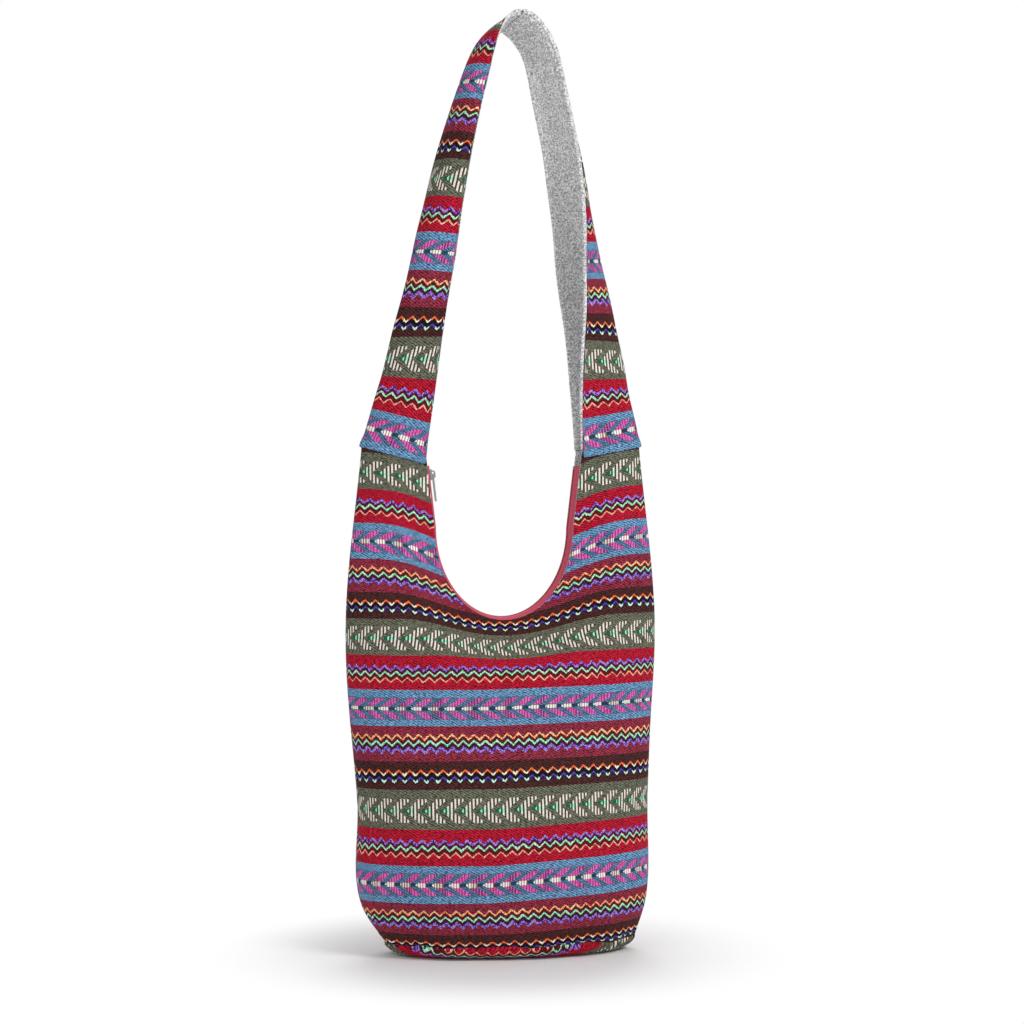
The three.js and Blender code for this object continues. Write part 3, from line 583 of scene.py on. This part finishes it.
def strap_form(side, lap, hem):
    """Where the points of a strap sheet lie: its foot laps over the panels, and a hem turns over its edges."""

    def form(a, b):
        rim = np.clip(1 - np.minimum(a, 1 - a) / max(hem, 1e-6), 0, 1)
        hem_turn = [0, 0.2, 0.35, 0.5, 0.65, 1]
        beyond = np.interp(rim, hem_turn, [0, 0.5, 0.7, 0.5, 0, -1.4])
        lift = np.interp(rim, hem_turn, [0, 0.3, 0.95, 1.6, 1.95, 2])
        turn = side * np.pi * (np.clip((a - hem) / (1 - 2 * hem), 0, 1) - 0.5)
        panel_top = SHOULDER_HEIGHT + SHOULDER_CLIMB * np.cos(turn)
        shoulder_z = panel_top - lap * (0.2 + 1 - np.cos(turn))
        edge = mouth_half_width(shoulder_z)
        shoulder_x = edge + (half_width(shoulder_z) - edge) * np.cos(turn)
        shoulder_y = np.sign(turn) * body_depth(shoulder_x, shoulder_z)
        shoulder = np.stack([side * shoulder_x, shoulder_y, shoulder_z], axis=1)
        shift = shoulder - strap_section(side, np.zeros_like(b), turn)
        place = strap_section(side, b, turn, beyond, lift) + shift * (1 - smooth(b, 0, 0.25))[:, None]
        over = LAP_HEIGHT * (lap > 0) * (1 - smooth(place[:, 2] - panel_top, 0, 12))
        place += np.stack([side * over * np.cos(turn), over * np.sin(turn), 0 * b], axis=1)
        place[:, 0] = np.where(b > 1 - 1e-6, side * SEAM_GAP / 2, place[:, 0])

        section = [strap_section(side, b, turn * share) for share in np.linspace(0, 1, 24)]
        across = sum(np.linalg.norm(q - p, axis=1) for p, q in zip(section, section[1:]))
        across = (across + HEM_CLOTH * rim) * np.sign(a - 0.5)
        up = half_loop * b

        slack = smooth(b, 0.02, 0.15) * (1 - smooth(b, 0.92, 1.0))
        dent = 1.6 * lumps(across * 0.7, up * 0.35 + 900 * side, 22, 5.0)
        dent = dent + 1.2 * lumps(across, up, 60, 9.0 * side)
        place[:, 0] += side * dent * slack * np.cos(turn)
        place[:, 1] += np.sin(turn) * dent * slack

        rise = np.clip(place[:, 2] - SHOULDER_HEIGHT, 0, None)
        twist = STRAP_TWIST * smooth(rise, 0, STRAP_TWIST_RISE)
        x = place[:, 0] * np.cos(twist) - place[:, 1] * np.sin(twist) + STRAP_LEAN * lean(rise / STRAP_RISE)
        y = place[:, 0] * np.sin(twist) + place[:, 1] * np.cos(twist)
        return np.stack([x, y, place[:, 2]], axis=1), np.stack([across, up], axis=1)

    return form


for name, side, lap, hem in (("left", -1, LEFT_LAP, 0), ("right", 1, RIGHT_LAP, HEM_SHARE)):
    strap = bend_sheet(f"{name}_strap_cloth", STRAP_COLUMNS, STRAP_ROWS, strap_form(side, lap, 0))
    thicken(strap, CLOTH, SEAM_GAP / 2, 1)
    strap.data.materials.append(striped_cloth)
    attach(strap, "bag")
    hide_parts(f"{name}_strap")
    lining_columns = STRAP_COLUMNS + HEM_COLUMNS
    lining = bend_sheet(f"{name}_strap_liner", lining_columns, STRAP_ROWS, strap_form(side, 0, hem))
    thicken(lining, LINING, -SEAM_GAP / 2 - LINING, 1)
    lining.data.materials.append(lining_cloth)
    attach(lining, "bag")
    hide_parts(f"{name}_strap_lining")


# Zip: two crimson tapes sewn behind the mouth's edges, each with its nylon coil, and steel end stops.
# The slider sits at the left end of the coils, with its pull hanging down.

TAPE, TAPE_INSET, ZIP_END = 0.6, 1.3, 485.0
ZIP_ARCH, ZIP_FLAT, TAPE_EDGE, TAPE_HALF_GAP = 4.0, 5.8, 13.9, 2.9

tape_cloth, tree, shader = new_material("crimson zip tape")
lengths = add_node(tree, "ShaderNodeAttribute", attribute_name="cloth").outputs["Vector"]
split = add_node(tree, "ShaderNodeSeparateXYZ", {0: lengths}).outputs
rib = calc(tree, "PINGPONG", split[0], 0.6)
row = calc(tree, "PINGPONG", split[1], 0.5)
weave = calc(tree, "ADD", rib, row)
colour = mix(tree, weave, shade(168, 30, 58), shade(232, 104, 128))
tree.links.new(colour, shader.inputs["Base Color"])
bump = add_node(tree, "ShaderNodeBump", {"Strength": 0.4, "Distance": 0.0002, "Height": weave})
tree.links.new(bump.outputs[0], shader.inputs["Normal"])
shader.inputs["Roughness"].default_value = 0.8

coil_nylon, tree, shader = new_material("crimson nylon coil")
place = add_node(tree, "ShaderNodeTexCoord").outputs["Object"]
worn = add_node(tree, "ShaderNodeTexNoise", {"Vector": place, "Scale": 240.0}).outputs[0]
tree.links.new(mix(tree, worn, shade(140, 20, 44), shade(190, 40, 70)), shader.inputs["Base Color"])
shader.inputs["Roughness"].default_value = 0.42

steel, tree, shader = new_material("brushed zip steel")
place = add_node(tree, "ShaderNodeTexCoord").outputs["Object"]
worn = add_node(tree, "ShaderNodeTexNoise", {"Vector": place, "Scale": 600.0, "Detail": 4.0}).outputs[0]
tree.links.new(mix(tree, worn, shade(170, 170, 174), shade(214, 214, 216)), shader.inputs["Base Color"])
rough = calc(tree, "ADD", calc(tree, "MULTIPLY", worn, 0.2), 0.2)
tree.links.new(rough, shader.inputs["Roughness"])
shader.inputs["Metallic"].default_value = 1.0


def mouth_track(end_height):
    """The line that the zip follows just behind the mouth's edge, from its left end round to its right end."""
    bend = np.linspace(np.pi, 2 * np.pi, 121)
    inset = TAPE_INSET - ZIP_ARCH
    x = (MOUTH_HALF_WIDTH + inset) * np.cos(bend)
    z = ROUND_TOP + (MOUTH_ROUND + inset) * np.sin(bend)
    end = mouth_half_width(np.array(end_height)) + inset
    x = np.concatenate([[-end], x, [end]])
    z = np.concatenate([[end_height], z, [end_height]])
    run = np.concatenate([[0], np.cumsum(np.hypot(np.diff(x), np.diff(z)))])
    return x, z, run


def tape_form(low, high):
    """Where the points of a tape lie: along the track, between two depths, sinking towards the sewn edge."""

    def form(a, b):
        x, z, run = mouth_track(ZIP_END)
        reach = a * run[-1]
        y = low + (high - low) * b
        drop = ZIP_ARCH * smooth(np.abs(y), ZIP_FLAT, TAPE_EDGE)
        step_x = np.interp(reach + 1, run, x) - np.interp(reach - 1, run, x)
        step_z = np.interp(reach + 1, run, z) - np.interp(reach - 1, run, z)
        step = np.hypot(step_x, step_z)
        place_x = np.interp(reach, run, x) + drop * step_z / step
        place_z = np.interp(reach, run, z) - drop * step_x / step
        return np.stack([place_x, y, place_z], axis=1), np.stack([reach, y], axis=1)

    return form


for side, low, high in (("front", -TAPE_EDGE, -TAPE_HALF_GAP), ("back", TAPE_HALF_GAP, TAPE_EDGE)):
    tape = bend_sheet(f"{side}_tape", 150, 8, tape_form(low, high))
    thicken(tape, TAPE, -TAPE / 2, 0)
    tape.data.materials.append(tape_cloth)
    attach(tape, "bag")
    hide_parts(f"zip_tape_{side}")

COIL_END, COIL_PITCH, COIL_RADIUS = 481.7, 1.9, 0.95
COIL_NEAR, COIL_FAR = 0.5, 2.6
for side, low, high, start in (("front", -COIL_FAR, -COIL_NEAR, 0.25), ("back", COIL_NEAR, COIL_FAR, 0.75)):
    bm = bmesh.new()
    x, z, run = mouth_track(COIL_END)
    for k in range(int(run[-1] / COIL_PITCH) - 1):
        reach = (k + 0.5 + start) * COIL_PITCH
        place = Vector((np.interp(reach, run, x), (low + high) / 2, np.interp(reach, run, z)))
        turned = Matrix.Translation(place * MM) @ Matrix.Rotation(math.pi / 2, 4, "X")
        bmesh.ops.create_cone(
            bm,
            segments=8,
            cap_ends=True,
            radius1=COIL_RADIUS * MM,
            radius2=COIL_RADIUS * MM,
            depth=(high - low) * MM,
            matrix=turned,
        )
    mesh = bpy.data.meshes.new(f"{side}_coil_teeth")
    bm.to_mesh(mesh)
    bm.free()
    mesh.shade_smooth()
    mesh.materials.append(coil_nylon)
    coil = bpy.data.objects.new(f"{side}_coil_teeth", mesh)
    bpy.context.scene.collection.objects.link(coil)
    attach(coil, "bag")
    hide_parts(f"zip_coil_{side}")

for name in ("zip_top_stop_front", "zip_top_stop_back", "zip_bottom_stop", "zip_slider", "zip_pull"):
    metal_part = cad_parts[name]
    metal_part.data.materials.clear()
    metal_part.data.materials.append(steel)


# Studio: a white floor that holds the bag's soft shadow and fades to white round it.
# Three broad soft lamps, a white room, and the camera in front and a little to the left.

FLOOR_RADIUS, FADE_START, FADE_END, ROOM_LIGHT, LAMP_AIM = 6.0, 0.13, 0.30, 0.48, 0.42

floor_paint, tree, shader = new_material("white floor")
shader.inputs["Base Color"].default_value = (0.93, 0.93, 0.93, 1)
shader.inputs["Roughness"].default_value = 0.9
glow = add_node(tree, "ShaderNodeEmission", {"Color": (1, 1, 1, 1), "Strength": 1.0})
place = add_node(tree, "ShaderNodeTexCoord").outputs["Object"]
far = add_node(tree, "ShaderNodeVectorMath", {0: place}, operation="LENGTH").outputs["Value"]
far = add_node(
    tree, "ShaderNodeMapRange", {0: far, 1: FADE_START, 2: FADE_END}, interpolation_type="SMOOTHSTEP"
).outputs[0]
seen = add_node(tree, "ShaderNodeLightPath").outputs["Is Camera Ray"]
blend = add_node(tree, "ShaderNodeMixShader", {0: calc(tree, "MULTIPLY", far, seen), 1: shader.outputs[0]})
tree.links.new(glow.outputs[0], blend.inputs[2])
tree.links.new(blend.outputs[0], tree.nodes["Material Output"].inputs[0])
bm = bmesh.new()
bmesh.ops.create_circle(bm, cap_ends=True, segments=64, radius=FLOOR_RADIUS)
mesh = bpy.data.meshes.new("floor")
bm.to_mesh(mesh)
bm.free()
mesh.materials.append(floor_paint)
floor = bpy.data.objects.new("floor", mesh)
bpy.context.scene.collection.objects.link(floor)

world = bpy.data.worlds.new("white room")
world.use_nodes = True
tree = world.node_tree
tree.nodes.clear()
path = add_node(tree, "ShaderNodeLightPath").outputs
seen = calc(tree, "MAXIMUM", path["Is Camera Ray"], path["Is Transmission Ray"])
strength = calc(tree, "ADD", ROOM_LIGHT, calc(tree, "MULTIPLY", seen, 1 - ROOM_LIGHT))
room = add_node(tree, "ShaderNodeBackground", {"Color": (1, 1, 1, 1), "Strength": strength})
add_node(tree, "ShaderNodeOutputWorld", {0: room.outputs[0]})
bpy.context.scene.world = world

for name, place, size, power in (
    ("key lamp", (1.5, -2.0, 2.5), 1.2, 44),
    ("fill lamp", (-1.8, -1.8, 1.2), 1.8, 9),
    ("back lamp", (0.6, 2.4, 2.0), 1.8, 30),
):
    light = bpy.data.lights.new(name, "AREA")
    light.size = size
    light.energy = power
    lamp = bpy.data.objects.new(name, light)
    lamp.location = place
    lamp.rotation_euler = (Vector((0, 0, LAMP_AIM)) - Vector(place)).to_track_quat("-Z", "Y").to_euler()
    bpy.context.scene.collection.objects.link(lamp)

CAMERA_TURN, CAMERA_DISTANCE, CAMERA_HEIGHT, CAMERA_SHIFT = math.radians(-10), 2.5, 0.439, 0.0105
SENSOR_WIDTH, FOCAL_LENGTH = 36.0, 87.89
lens = bpy.data.cameras.new("camera")
lens.sensor_width = SENSOR_WIDTH
lens.lens = FOCAL_LENGTH
camera = bpy.data.objects.new("camera", lens)
camera.location = (
    CAMERA_DISTANCE * math.sin(CAMERA_TURN) + CAMERA_SHIFT * math.cos(CAMERA_TURN),
    -CAMERA_DISTANCE * math.cos(CAMERA_TURN) + CAMERA_SHIFT * math.sin(CAMERA_TURN),
    CAMERA_HEIGHT,
)
camera.rotation_euler = (math.pi / 2, 0, CAMERA_TURN)
bpy.context.scene.collection.objects.link(camera)
bpy.context.scene.camera = camera
bpy.context.scene.view_settings.view_transform = "Standard"
